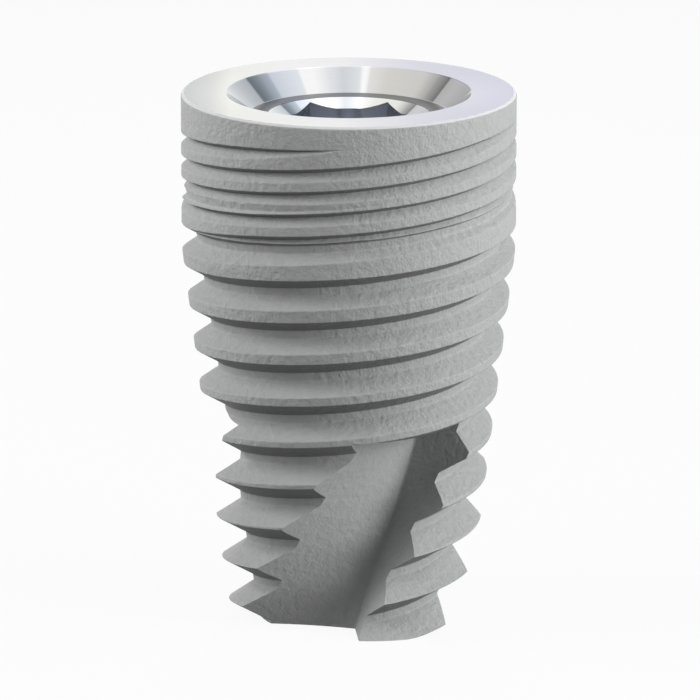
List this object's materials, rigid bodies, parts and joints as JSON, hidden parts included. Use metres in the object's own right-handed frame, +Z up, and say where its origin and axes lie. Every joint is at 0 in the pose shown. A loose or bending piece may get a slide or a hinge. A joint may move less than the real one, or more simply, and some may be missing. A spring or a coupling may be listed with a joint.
{
  "type": "dental implant",
  "caption": "Tapered screw-form dental implant with a coarse thread, fine neck grooves, helical cutting flutes and a hexagon socket in its flat head.",
  "frame": {"origin": "centre of the flat apex, which the implant stands on", "axes": "+Z up the implant's axis from the apex to the platform; -Y faces the camera, and two corners of the hexagon lie on the X axis"},
  "size_m": [0.006, 0.006, 0.0097],
  "materials": {
    "titanium": "titanium: matt blasted grey outside, bright machined platform and socket"
  },
  "bodies": {
    "root": {"implant_body": "titanium"}
  },
  "joints": []
}
